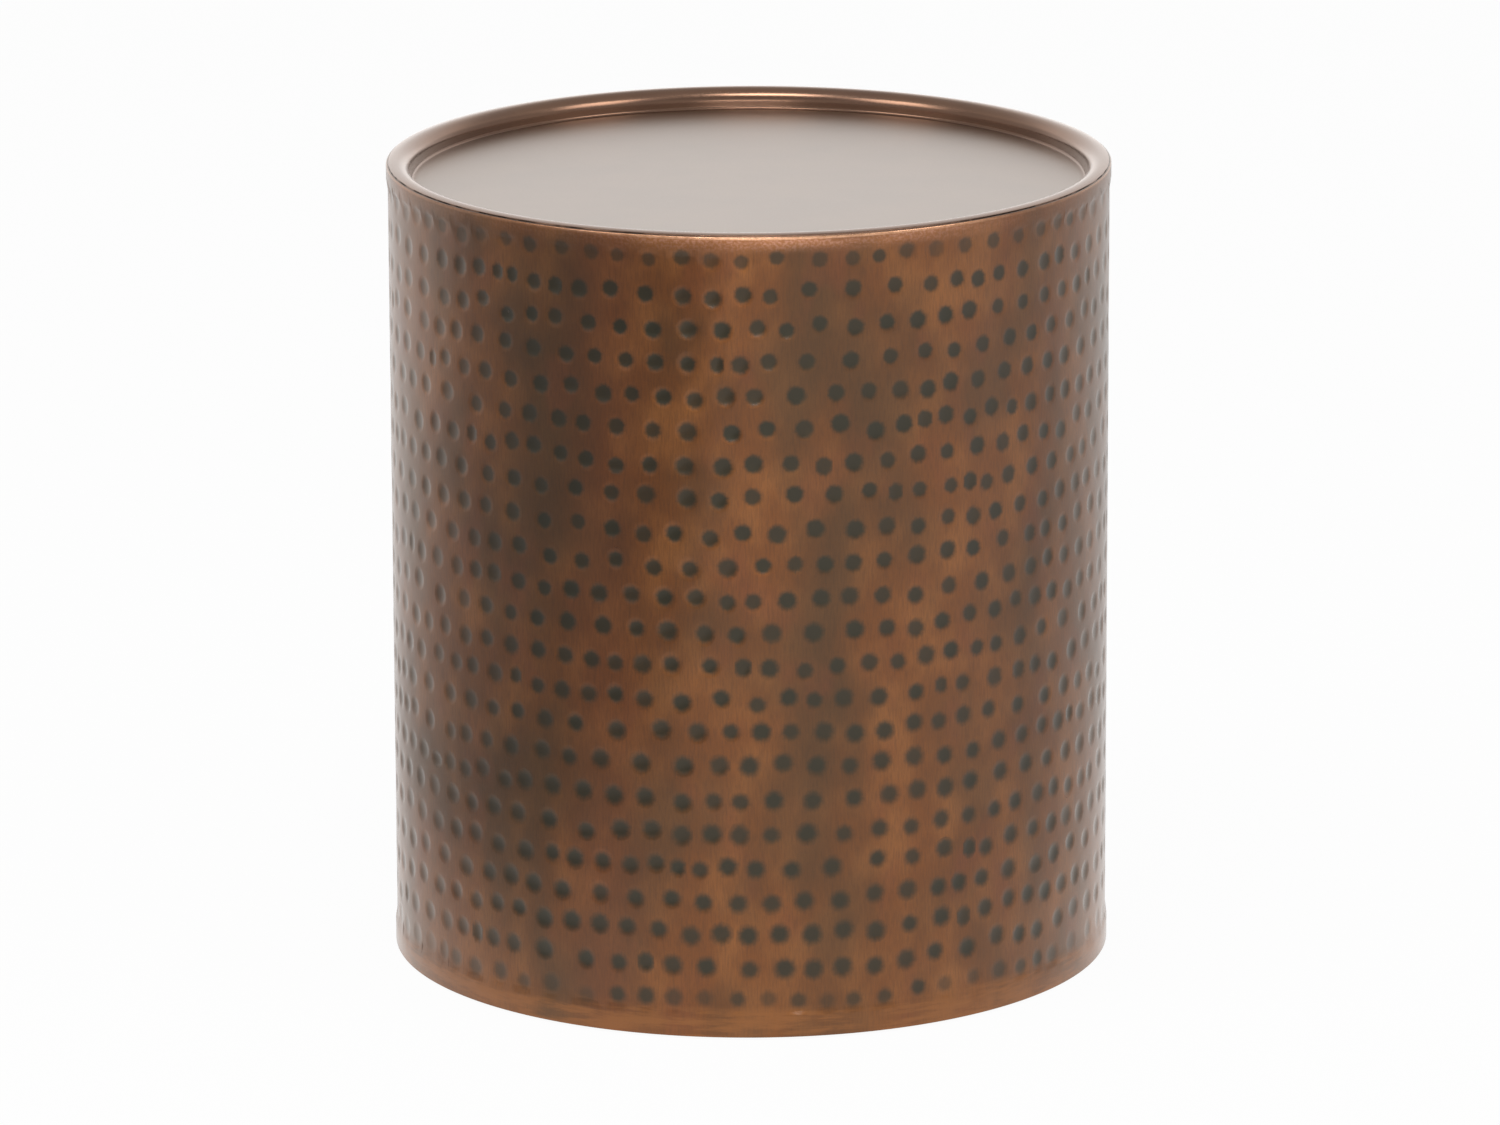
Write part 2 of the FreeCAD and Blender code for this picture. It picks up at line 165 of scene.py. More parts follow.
def to_piece(name, bm, material, nodes):
    """A finished mesh as a piece that rides on the table and stands for its nodes."""
    for face in bm.faces:
        face.smooth = True
    mesh = bpy.data.meshes.new(name)
    bm.to_mesh(mesh)
    bm.free()
    mesh.materials.append(material)
    piece = bpy.data.objects.new(name, mesh)
    bpy.context.scene.collection.objects.link(piece)
    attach(piece, "root")
    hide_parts(*nodes)
    return piece


def sharpen(bm, angle=math.radians(32)):
    """Edges that turn more than the angle stay crisp under smooth shading."""
    for edge in bm.edges:
        edge.smooth = not (edge.is_manifold and edge.calc_face_angle() > angle)


def uneven_widths(chance, columns, marks):
    """Widths in grid columns of one row's cells, uneven as blows fall, that fill the row."""
    even = columns // marks
    choices, odds = (even - 2, even - 1, even, even + 1, even + 2), (4, 22, 50, 20, 4)
    widths = []
    while sum(widths) < columns - (even + 2):
        widths.append(chance.choices(choices, odds)[0])
    for number in range(columns - sum(widths)):
        widths[number * 7 % len(widths)] += 1
    return widths


DENT_RINGS = (1.12, 0.96, 0.7, 0.38)  # rings of a dent, as shares of its radius
PLAIN = 3.0  # the mark_reach of plain sheet, well outside any dent's dark core


class Blow:
    """One hammer blow: where it fell, how wide and how deep, and how much patina it holds."""

    def __init__(self, cell, drum, chance, faint):
        across = [vert.co.x for vert in cell.verts]
        up = [vert.co.y for vert in cell.verts]
        middle = Vector(((min(across) + max(across)) / 2, (min(up) + max(up)) / 2))
        stray = Vector((chance.gauss(0, 0.5 * MM), chance.gauss(0, 1.0 * MM)))
        room = Vector(((max(across) - min(across)) / 2, (max(up) - min(up)) / 2))
        self.centre = middle + stray
        land = 0.25 * MM  # left between a dent and its cell's sides
        most = [(half - abs(off) - land) / DENT_RINGS[0] for half, off in zip(room, stray)]
        self.reach = Vector([min(drum.dent_radius * chance.uniform(0.9, 1.06), limit) for limit in most])
        self.depth = drum.dent_depth * chance.uniform(0.75, 1.15) * (0.55 if faint else 1)
        low = 1 - middle.y / drum.last_row
        self.core = drum.core_radius * chance.uniform(0.88, 1.1) * (1 + 0.12 * low) * (0.9 if faint else 1)
        self.tone = chance.uniform(0.45, 0.9) if faint else chance.uniform(0.88, 1.0)

    def dip(self, share):
        """Depth of the dent at a share of its radius: the cap of a ball."""
        return self.depth * max(0.0, 1 - share * share)


def evenly_round(centre, verts):
    """Angles spaced evenly round a centre that follow the verts' own places as nearly as they can."""
    angles = []
    for vert in verts:
        angle = math.atan2(vert.co.y - centre.y, vert.co.x - centre.x)
        while angles and angle < angles[-1]:
            angle += FULL_TURN
        angles.append(angle)
    step = FULL_TURN / len(verts)
    start = sum(angle - number * step for number, angle in enumerate(angles)) / len(verts)
    return [start + number * step for number in range(len(verts))]


def strike(bm, cells, blows):
    """Sink a round dent into each cell of the flat sheet, ring inside ring."""
    reach_layer = bm.verts.layers.float.new("mark_reach")
    tone_layer = bm.verts.layers.float.new("mark_tone")
    for vert in bm.verts:
        vert[reach_layer] = PLAIN
    for share in DENT_RINGS:
        bmesh.ops.inset_individual(bm, faces=cells, thickness=0.02 * MM, depth=0)
        for cell in cells:
            blow = blows[cell]
            for vert, angle in zip(cell.verts, evenly_round(blow.centre, cell.verts)):
                side = Vector((math.cos(angle) * blow.reach.x, math.sin(angle) * blow.reach.y)) * share
                vert.co = (*(blow.centre + side), -blow.dip(share))
                vert[reach_layer] = side.length / blow.core
                vert[tone_layer] = blow.tone
    owner = {vert: blows[cell] for cell in cells for vert in cell.verts}
    for vert in bmesh.ops.poke(bm, faces=cells)["verts"]:
        blow = owner[vert.link_edges[0].other_vert(vert)]
        vert.co = (*blow.centre, -blow.depth)
        vert[reach_layer] = 0.0
        vert[tone_layer] = blow.tone


def hammered_field(drum, around):
    """The flat sheet between the bands: across in x, up in y, and out in z, with every dent sunk."""
    chance = random.Random(drum.seed)
    columns = drum.marks * 5
    pitch = (drum.last_row - drum.first_row) / (drum.rows - 1)
    base = drum.first_row - pitch / 2
    bm = bmesh.new()
    bmesh.ops.create_grid(bm, x_segments=columns, y_segments=drum.rows, size=0.5)
    place = {}
    for vert in bm.verts:
        place[vert] = (round((vert.co.x + 0.5) * columns), round((vert.co.y + 0.5) * drum.rows))
    joints = []
    for row in range(drum.rows):
        widths = uneven_widths(chance, columns, drum.marks)
        joints.append({sum(widths[:number]) for number in range(len(widths) + 1)})
    upright = [edge for edge in bm.edges if place[edge.verts[0]][0] == place[edge.verts[1]][0]]
    spare = [
        edge
        for edge in upright
        if place[edge.verts[0]][0] not in joints[min(place[vert][1] for vert in edge.verts)]
    ]
    sway, change = 2.2, 0.8  # how fast the wandering varies round the drum, and from row to row
    for vert, (column, row) in place.items():
        turn = FULL_TURN * column / columns
        inner = 0 < row < drum.rows
        spot = (sway * math.cos(turn), sway * math.sin(turn), row * change)
        stray = noise.noise(spot) if inner else 0
        vert.co = (around * column / columns, base + row * pitch + stray * 2 * drum.wander, 0)
    bmesh.ops.dissolve_edges(bm, edges=spare, use_verts=False, use_face_split=False)
    between = [edge for edge in upright if edge.is_valid]
    end_rows = ({0, 1}, {drum.rows - 1, drum.rows})
    at_ends = [edge for edge in between if {place[vert][1] for vert in edge.verts} in end_rows]
    bmesh.ops.bisect_edges(bm, edges=at_ends, cuts=3)
    bm.normal_update()
    cells = list(bm.faces)
    ends = (base + pitch, base + pitch * (drum.rows - 1))
    blows = {}
    for cell in cells:
        middle = cell.calc_center_median().y
        blows[cell] = Blow(cell, drum, chance, faint=not ends[0] < middle < ends[1])
    strike(bm, cells, blows)
    return bm


def band_rise(drum, height):
    """How far the sheet stands out of the hammered field at a height."""
    foot = drum.foot_band + SHELL_LOW.z
    head = SHELL_HIGH.z - drum.head_band
    into_field = max(0.0, min(height - foot, head - height)) / drum.shoulder
    share = max(0.0, 1 - into_field)
    return drum.draw * share * share * (3 - 2 * share)


def hammer_drum(drum, material):
    """The rolled sheet: its field hammered flat on the bench, then the bands, edges and inner face."""
    band_radius = min(SHELL_HIGH.x, SHELL_HIGH.y)
    field_radius = band_radius - drum.draw
    bm = hammered_field(drum, FULL_TURN * field_radius)
    for vert in bm.verts:
        vert.co.z += band_rise(drum, vert.co.y)
    lowest = min(vert.co.y for vert in bm.verts)
    highest = max(vert.co.y for vert in bm.verts)
    edges = [
        edge for edge in bm.edges if edge.is_boundary and all(vert.co.y < lowest + MM for vert in edge.verts)
    ]
    inner = drum.draw - drum.sheet
    chamfer = 0.3 * MM  # on the outside of the bottom edge
    foot, head = SHELL_LOW.z, SHELL_HIGH.z
    nick = drum.filed_edge
    filed = [
        (drum.draw - nick * (1 - math.sin(turn)), head - nick * (1 - math.cos(turn)))
        for turn in (FULL_TURN * part / 16 for part in range(5))
    ]
    route = [
        (drum.draw, foot + drum.foot_band / 2),
        (drum.draw, foot + chamfer),
        (drum.draw - chamfer, foot),
        (inner, foot),
        (inner, foot + drum.foot_band),
        (-drum.sheet, foot + drum.foot_band + drum.shoulder),
        (-drum.sheet, (foot + head) / 2),
        (-drum.sheet, head - drum.head_band - drum.shoulder),
        (inner, head - drum.head_band),
        (inner, head),
        *filed,
        (band_rise(drum, highest), highest),
    ]
    reach_layer = bm.verts.layers.float["mark_reach"]
    for out, height in route:
        made = bmesh.ops.extrude_edge_only(bm, edges=edges)["geom"]
        for vert in [item for item in made if isinstance(item, bmesh.types.BMVert)]:
            vert.co = (vert.co.x, height, out)
            vert[reach_layer] = PLAIN
        edges = [item for item in made if isinstance(item, bmesh.types.BMEdge)]
    unrolled = bm.loops.layers.uv.new("unrolled")
    for face in bm.faces:
        for loop in face.loops:
            loop[unrolled].uv = loop.vert.co.xy
    for vert in bm.verts:
        turn = SEAM_ANGLE + vert.co.x / field_radius
        reach = field_radius + vert.co.z
        vert.co = (reach * math.cos(turn), reach * math.sin(turn), vert.co.y)
    bmesh.ops.remove_doubles(bm, verts=bm.verts, dist=0.02 * MM)
    bmesh.ops.recalc_face_normals(bm, faces=bm.faces)
    sharpen(bm)
    return to_piece("hammered_drum", bm, material, ["drum_shell"])


# ---- outlines turned about the axis ----


def run_to(bm, vert, across, up):
    """Draw the outline on with a straight run; returns its end."""
    end = bmesh.ops.extrude_vert_indiv(bm, verts=[vert])["verts"][0]
    end.co = (across, 0, up)
    return end


def bend_on(bm, vert, across, up, degrees, steps=8):
    """Draw the outline on round a centre, clockwise for a positive angle; returns its end."""
    made = bmesh.ops.spin(
        bm,
        geom=[vert],
        cent=(across, 0, up),
        axis=(0, 1, 0),
        angle=math.radians(degrees),
        steps=steps,
        use_merge=False,
    )
    return next(item for item in made["geom_last"] if isinstance(item, bmesh.types.BMVert))


def turn_outline(bm, steps):
    """The drawn outline turned once about the drum's axis and closed."""
    bmesh.ops.spin(
        bm,
        geom=bm.verts[:] + bm.edges[:],
        cent=(0, 0, 0),
        axis=(0, 0, 1),
        angle=FULL_TURN,
        steps=steps,
        use_merge=True,
    )
    bmesh.ops.remove_doubles(bm, verts=bm.verts, dist=0.005 * MM)
    bmesh.ops.recalc_face_normals(bm, faces=bm.faces)


def spin_top(top, material):
    """The spun top: flat, fillet, wall, roll, crown, corner and skirt, then back along the underside."""
    rim = min(PAN_HIGH.x, PAN_HIGH.y)
    crest = rim - top.crest_inset
    crest_height = PAN_HIGH.z
    flat = BOARD_TOP + top.sheet
    wall = crest - top.roll_bend
    flat_edge = wall - top.fillet
    crown_height = crest_height - top.crown_bend
    roll_height = crest_height - top.roll_bend
    between = top.crown_bend - top.corner_bend
    corner_out = rim - top.corner_bend
    corner_height = crown_height + math.sqrt(between**2 - (corner_out - crest) ** 2)
    lean = math.degrees(math.asin((corner_out - crest) / between))
    bm = bmesh.new()
    end = bm.verts.new((0, 0, flat))
    for share in (0.25, 0.5, 0.75, 0.97, 1):
        end = run_to(bm, end, flat_edge * share, flat)
    end = bend_on(bm, end, flat_edge, flat + top.fillet, -90, 8)
    end = run_to(bm, end, wall, roll_height)
    end = bend_on(bm, end, crest, roll_height, 90, 16)
    end = bend_on(bm, end, crest, crown_height, lean, 6)
    end = bend_on(bm, end, corner_out, corner_height, 90 - lean, 6)
    end = run_to(bm, end, rim, top.skirt_base)
    end = run_to(bm, end, rim - top.sheet, top.skirt_base)
    end = run_to(bm, end, rim - top.sheet, corner_height)
    end = bend_on(bm, end, corner_out, corner_height, lean - 90, 2)
    end = bend_on(bm, end, crest, crown_height, -lean, 4)
    end = bend_on(bm, end, crest, roll_height, -90, 8)
    end = run_to(bm, end, wall + top.sheet, flat + top.fillet)
    end = bend_on(bm, end, flat_edge, flat + top.fillet, 90, 4)
    run_to(bm, end, 0, BOARD_TOP)
    turn_outline(bm, top.steps)
    sharpen(bm)
    return to_piece("spun_top", bm, material, ["top_pan"])


# ---- small parts under the table ----


def mould_foot(number, material):
    """A rubber foot with rounded edges and a shallow recess moulded into its sole."""
    low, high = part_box(f"glide_foot_{number}")
    middle = (low + high) / 2
    radius = (high.x - low.x) / 2
    bm = bmesh.new()
    bmesh.ops.create_cone(
        bm, cap_ends=True, segments=48, radius1=radius, radius2=radius, depth=high.z - low.z,
        matrix=Matrix.Translation(middle),
    )
    sole = next(face for face in bm.faces if len(face.verts) > 4 and face.normal.z < 0)
    tread, slope, recess, rounding = 3 * MM, 0.6 * MM, 0.8 * MM, 1.2 * MM
    bmesh.ops.inset_individual(bm, faces=[sole], thickness=tread, depth=0)
    bmesh.ops.inset_individual(bm, faces=[sole], thickness=slope, depth=-recess)
    rims = [
        edge
        for edge in bm.edges
        if all(abs((vert.co.xy - middle.xy).length - radius) < 0.01 * MM for vert in edge.verts)
        and abs(edge.verts[0].co.z - edge.verts[1].co.z) < 0.01 * MM
    ]
    bmesh.ops.bevel(
        bm, geom=rims, offset=rounding, offset_type="OFFSET", segments=4, profile=0.5,
        affect="EDGES", material=-1,
    )
    bmesh.ops.recalc_face_normals(bm, faces=bm.faces)
    sharpen(bm)
    return to_piece(f"rubber_foot_{number}", bm, material, [f"glide_foot_{number}"])


def lay_bead(bm, start, end, radius, ripple=1.6 * MM):
    """A rippled weld bead from one point to another, its ends closed and tapered."""
    along = end - start
    count = max(4, round(along.length / ripple)) * 3
    aim = along.to_track_quat("Z", "Y").to_matrix().to_4x4()
    tip, trough = 0.35, 0.86  # radius of the bead's ends and between its ripples, as shares of the full one
    made = bmesh.ops.create_circle(
        bm, cap_ends=True, segments=10, radius=radius * tip, matrix=Matrix.Translation(start) @ aim
    )
    face = made["verts"][0].link_faces[0]
    size = tip
    for step in range(1, count + 1):
        swell = trough + (1 - trough) * (1 - (step % 3) / 2)
        taper = min(1.0, tip + tip * min(step, count - step))
        extruded = bmesh.ops.extrude_discrete_faces(bm, faces=[face])["faces"]
        face = extruded[0]
        bmesh.ops.translate(bm, verts=face.verts, vec=along / count)
        centre = start + along * step / count
        change = swell * taper / size
        space = Matrix.Translation(-centre)
        bmesh.ops.scale(bm, verts=face.verts, vec=(change, change, change), space=space)
        size = swell * taper


def close_starts(bm):
    """Fill the opening that each drawn-out outline leaves where it began."""
    bmesh.ops.holes_fill(bm, edges=[edge for edge in bm.edges if edge.is_boundary], sides=0)


def weld_ring(material):
    """Beads on the ring, each laid as short straight runs round the drum's bottom band."""
    low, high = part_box("ring_weld_beads")
    radius, sunk, bead = 1.4 * MM, 0.6 * MM, 25 * MM
    corner = high.y - sunk
    level = low.z + sunk
    half = bead / 2 / corner
    bm = bmesh.new()
    beads, runs = 8, 4
    for number in range(beads):
        middle = (number + 0.5) * FULL_TURN / beads
        for run in range(runs):
            turns = [middle - half + 2 * half * (run + side) / runs for side in (0, 1)]
            points = [Vector((corner * math.cos(turn), corner * math.sin(turn), level)) for turn in turns]
            lay_bead(bm, *points, radius)
    close_starts(bm)
    bmesh.ops.recalc_face_normals(bm, faces=bm.faces)
    return to_piece("ring_welds", bm, material, ["ring_weld_beads"])


def weld_brackets(material):
    """Beads up both sides of each bracket."""
    low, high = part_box("bracket_weld_beads")
    # out and side are where a bracket's edge meets the wall
    radius, out, side = 1.2 * MM, 200.0 * MM, 15.4 * MM
    bm = bmesh.new()
    for number in range(4):
        turn = math.radians(45) + number * FULL_TURN / 4
        ahead = Vector((math.cos(turn), math.sin(turn), 0))
        across = Vector((-math.sin(turn), math.cos(turn), 0))
        for hand in (-1, 1):
            foot = ahead * out + across * hand * side
            lay_bead(bm, foot + Vector((0, 0, low.z)), foot + Vector((0, 0, high.z)), radius)
    close_starts(bm)
    bmesh.ops.recalc_face_normals(bm, faces=bm.faces)
    return to_piece("bracket_welds", bm, material, ["bracket_weld_beads"])


def thread_studs(material):
    """The feet's M5 studs with ridges at the pitch of their thread."""
    radius, pitch, depth = 2.5 * MM, 0.8 * MM, 0.42 * MM
    bm = bmesh.new()
    low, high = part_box("foot_studs")
    for number in range(1, 5):
        foot_low, foot_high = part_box(f"glide_foot_{number}")
        middle = (foot_low + foot_high) / 2
        made = bmesh.ops.create_circle(
            bm, cap_ends=True, segments=24, radius=radius - depth,
            matrix=Matrix.Translation((middle.x, middle.y, low.z)),
        )
        face = made["verts"][0].link_faces[0]
        ridges = int((high.z - low.z) / pitch)
        rise = (high.z - low.z) / ridges / 2
        for half in range(2 * ridges):
            wide = radius if half % 2 == 0 else radius - depth
            face = bmesh.ops.extrude_discrete_faces(bm, faces=[face])["faces"][0]
            bmesh.ops.translate(bm, verts=face.verts, vec=(0, 0, rise))
            now = (face.verts[0].co.xy - middle.xy).length
            space = Matrix.Translation((-middle.x, -middle.y, 0))
            bmesh.ops.scale(bm, verts=face.verts, vec=(wide / now, wide / now, 1), space=space)
    close_starts(bm)
    bmesh.ops.recalc_face_normals(bm, faces=bm.faces)
    return to_piece("threaded_studs", bm, material, ["foot_studs"])


# ---- materials ----

SMOOTH = {"interpolation_type": "SMOOTHSTEP"}  # for a value that eases from one range to another
COLOURS = {"data_type": "RGBA"}  # for a mix of two colours


def new_material(name):
    """An empty material with its output; returns it, its tree and its principled shader."""
    material = bpy.data.materials.new(name)
    material.use_nodes = True
    tree = material.node_tree
    tree.nodes.clear()
    output = tree.nodes.new("ShaderNodeOutputMaterial")
    shader = tree.nodes.new("ShaderNodeBsdfPrincipled")
    tree.links.new(shader.outputs["BSDF"], output.inputs["Surface"])
    return material, tree, shader


def add(tree, kind, *given, output=None, **settings):
    """A shader node with its settings; returns the output that is named, or else the first.

    What is given goes to the node's inputs in turn: values, other nodes' outputs, or None to skip one.
    """
    node = tree.nodes.new("ShaderNode" + kind)
    for name, setting in settings.items():
        setattr(node, name, setting)
    for socket, source in zip([place for place in node.inputs if place.enabled], given):
        if isinstance(source, bpy.types.NodeSocket):
            tree.links.new(source, socket)
        elif source is not None:
            socket.default_value = source
    if output:
        return node.outputs[output]
    return next((place for place in node.outputs if place.enabled), None)


def grain(tree, where, size, detail=3.0, roughness=0.55, stretch=(1, 1, 1)):
    """Noise whose grain has a real size; stretch makes it longer along an axis."""
    scale = [1 / (size * along) for along in stretch]
    spread = add(tree, "Mapping", where, None, None, scale, vector_type="POINT")
    return add(tree, "TexNoise", spread, 1.0, detail, roughness, noise_dimensions="3D")


def off_line(tree, place, line):
    """How far a place lies from a line, to either side of it."""
    return add(tree, "Math", add(tree, "Math", place, line, operation="SUBTRACT"), operation="ABSOLUTE")


def copper_plate(finish, drum):
    """Copper-plated steel sheet, darkened with patina, rubbed back by hand and lacquered satin.

    The rubbed land is warm and streaked up and down; patina stays in clouds and, nearly black, in the dents.
    """
    material, tree, shader = new_material("copper_plate_patinated_lacquered")
    sheet = add(tree, "UVMap", uv_map="unrolled")
    across = add(tree, "SeparateXYZ", sheet, output="X")
    up = add(tree, "SeparateXYZ", sheet, output="Y")
    around = FULL_TURN * (min(SHELL_HIGH.x, SHELL_HIGH.y) - drum.draw)
    foot = SHELL_LOW.z + drum.foot_band
    head = SHELL_HIGH.z - 0.2 * MM
    from_front = off_line(tree, across, around * 0.522)

    clouds = grain(tree, sheet, 46 * MM, 2, 0.45, (1, 1.8, 1))
    blots = grain(tree, sheet, 28 * MM, 2, 0.45, (1, 1.3, 1))
    reds = grain(tree, sheet, 32 * MM, 2, 0.5, (1, 1.8, 1))
    wear = grain(tree, sheet, 9 * MM, 4, 0.65, (5, 0.7, 1))
    burrs = grain(tree, sheet, 5 * MM, 3, 0.7, (1, 0.3, 1))
    ragged = grain(tree, sheet, 3.2 * MM, 3, 0.6)
    nicks = grain(tree, sheet, 1.6 * MM, 2, 0.6)
    # real brushing is about 0.2 mm wide and flecks are finer still; both are drawn coarser so that they show
    brushing = grain(tree, sheet, 1.1 * MM, 3, 0.7, (1, 9, 1))
    flecks = grain(tree, sheet, 0.9 * MM, 2, 0.7)

    # the rubbed land under clouds of brown patina
    rubbing = add(tree, "MapRange", blots, 0.36, 0.74, **SMOOTH)
    rubbed = add(tree, "Mix", rubbing, finish.copper, finish.warm_copper, **COLOURS)
    clouding = add(tree, "MapRange", clouds, 0.4, 0.72, 0.0, 0.6, **SMOOTH)
    clouded = add(tree, "Mix", clouding, rubbed, finish.brown, **COLOURS)

    # two brown bands and a red one that run up the drum: painted dark and warm reflections, broken up by the
    # clouds
    from_first = off_line(tree, across, around * 0.405)
    first_painted_reflection = add(tree, "MapRange", from_first, 0.0, around * 0.055, 1.0, 0.0, **SMOOTH)
    from_second = off_line(tree, across, around * 0.537)
    second_painted_reflection = add(tree, "MapRange", from_second, 0.0, around * 0.035, 1.0, 0.0, **SMOOTH)
    bands = add(tree, "Math", first_painted_reflection, second_painted_reflection, operation="MAXIMUM")
    broken = add(tree, "MapRange", clouds, 0.3, 0.6, 0.15, 0.6, **SMOOTH)
    painted_reflection_share = add(tree, "Math", bands, broken, operation="MULTIPLY")
    with_painted_reflections = add(tree, "Mix", painted_reflection_share, clouded, finish.brown, **COLOURS)
    from_warm_reflection = off_line(tree, across, around * 0.435)
    painted_warm_reflection = add(tree, "MapRange", from_warm_reflection, 0.0, around * 0.03, 0.35, 0.0, **SMOOTH)
    red_clouds = add(tree, "MapRange", reds, 0.52, 0.74, 0.0, 0.45, **SMOOTH)
    red_tint_and_warm_reflection = add(tree, "Math", red_clouds, painted_warm_reflection, operation="MAXIMUM")
    tinted = add(tree, "Mix", red_tint_and_warm_reflection, with_painted_reflections, linear("#7E4222"), **COLOURS)
    streaks = add(tree, "MapRange", brushing, 0.35, 0.75, 0.0, 0.34, **SMOOTH)
    streaked = add(tree, "Mix", streaks, tinted, linear("#3E2A16"), **COLOURS)
    specks = add(tree, "MapRange", flecks, 0.66, 0.8, 0.0, 0.2, **SMOOTH)
    speckled = add(tree, "Mix", specks, streaked, finish.warm_copper, **COLOURS)

    # the dents' dark cores: softer low on the drum, and fainter away from its front as a painted sheen of the
    # sides
    reach = add(tree, "Attribute", output="Fac", attribute_name="mark_reach")
    tone = add(tree, "Attribute", output="Fac", attribute_name="mark_tone")
    waver = add(tree, "MapRange", ragged, 0.2, 0.8, -0.1, 0.1, **SMOOTH)
    wavering = add(tree, "Math", reach, waver, operation="ADD")
    past_edge = add(tree, "Math", wavering, 0.97, operation="SUBTRACT")
    softness = add(tree, "MapRange", up, 0.12, 0.36, 0.62, 1.0, **SMOOTH)
    softened = add(tree, "Math", past_edge, softness, operation="MULTIPLY")
    within = add(tree, "MapRange", softened, -0.31, 0.31, 1.0, 0.0, **SMOOTH)
    painted_side_sheen = add(tree, "MapRange", from_front, around * 0.12, around * 0.2, 1.0, 0.6, **SMOOTH)
    depth = add(tree, "Math", tone, painted_side_sheen, operation="MULTIPLY")
    core = add(tree, "Math", within, depth, operation="MULTIPLY")
    marked = add(tree, "Mix", core, speckled, finish.olive, **COLOURS)

    # the foot's band is rubbed bright in places; below the top edge in front, a painted highlight lightens
    # the wall, patchy with wear
    on_band = add(tree, "MapRange", up, foot, foot + 7 * MM, 1.0, 0.0, **SMOOTH)
    rubs = add(tree, "MapRange", wear, 0.4, 0.62, 0.15, 0.8, **SMOOTH)
    worn = add(tree, "Math", on_band, rubs, operation="MULTIPLY")
    banded = add(tree, "Mix", worn, marked, finish.warm_copper, **COLOURS)
    front_highlight_share = add(tree, "MapRange", from_front, around * 0.01, around * 0.12, 1.0, 0.15, **SMOOTH)
    below_edge = add(tree, "MapRange", up, head - 10 * MM, head, **SMOOTH)
    edge_highlight_zone = add(tree, "Math", below_edge, front_highlight_share, operation="MULTIPLY")
    highlight_wear = add(tree, "MapRange", wear, 0.3, 0.6, 0.4, 1.0, **SMOOTH)
    painted_highlight_and_wear = add(tree, "Math", edge_highlight_zone, highlight_wear, operation="MULTIPLY")
    scuffs = add(tree, "MapRange", nicks, 0.4, 0.65, **SMOOTH)
    highlight_copper = add(tree, "Mix", scuffs, linear("#B4774A"), linear("#D4997C"), **COLOURS)
    with_edge_highlight = add(tree, "Mix", painted_highlight_and_wear, banded, highlight_copper, **COLOURS)

    # the top edge is filed to bare copper with burrs, the bare copper kept to the front as a painted
    # highlight; painted shade of the joint lies on it under the rim, lighter in front
    burr = add(tree, "MapRange", burrs, 0.35, 0.6, 0.45, 1.0, **SMOOTH)
    on_edge = add(tree, "MapRange", up, head - 1.7 * MM, head - 0.8 * MM, **SMOOTH)
    front_filing_highlight = add(tree, "Math", front_highlight_share, burr, operation="MULTIPLY")
    filed = add(tree, "Math", on_edge, front_filing_highlight, operation="MULTIPLY")
    with_filed_highlight = add(tree, "Mix", filed, with_edge_highlight, finish.filed, **COLOURS)
    on_top = add(tree, "MapRange", up, head + 0.05 * MM, head + 0.18 * MM, 0.0, 0.8, **SMOOTH)
    joint_shade_breakup = add(tree, "Math", on_top, burr, operation="MULTIPLY")
    joint_shade_sides = add(tree, "MapRange", from_front, around * 0.01, around * 0.06, 0.3, 1.0, **SMOOTH)
    joint_shade = add(tree, "Math", joint_shade_breakup, joint_shade_sides, operation="MULTIPLY")
    with_joint_shade = add(tree, "Mix", joint_shade, with_filed_highlight, linear("#241A14"), **COLOURS)

    # the brazed seam, where the unrolled sheet begins and ends
    from_end = add(tree, "Math", around, across, operation="SUBTRACT")
    from_seam = add(tree, "Math", across, from_end, operation="MINIMUM")
    run_out = add(tree, "MapRange", ragged, 0.2, 0.8, -0.6 * MM, 0.6 * MM, **SMOOTH)
    seam_edge = add(tree, "Math", from_seam, run_out, operation="ADD")
    brazing = add(tree, "MapRange", seam_edge, 1.0 * MM, 1.8 * MM, 1.0, 0.0, **SMOOTH)
    seamed = add(tree, "Mix", brazing, with_joint_shade, finish.braze, **COLOURS)
    tree.links.new(seamed, shader.inputs["Base Color"])

    satin = add(tree, "MapRange", blots, 0.3, 0.7, 0.34, 0.42, **SMOOTH)
    dulling = add(tree, "Math", core, 0.08, operation="MULTIPLY")
    dulled = add(tree, "Math", satin, dulling, operation="ADD")
    polishing = add(tree, "Math", filed, 0.14, operation="MULTIPLY")
    rough = add(tree, "Math", dulled, polishing, operation="SUBTRACT")
    tree.links.new(rough, shader.inputs["Roughness"])
    swells = add(tree, "Math", blots, 0.4, operation="MULTIPLY")
    scratches = add(tree, "Math", brushing, swells, operation="ADD")
    bump = add(tree, "Bump", 0.35, 0.06 * MM, None, scratches)
    tree.links.new(bump, shader.inputs["Normal"])
    shader.inputs["Metallic"].default_value = 1.0
    shader.inputs["Specular Tint"].default_value = linear("#F2E2D2")
    shader.inputs["Coat Weight"].default_value = 1.0
    shader.inputs["Coat IOR"].default_value = 1.4
    shader.inputs["Coat Roughness"].default_value = 0.18
    shader.inputs["Sheen Weight"].default_value = 0.2
    shader.inputs["Sheen Roughness"].default_value = 0.5
    return material


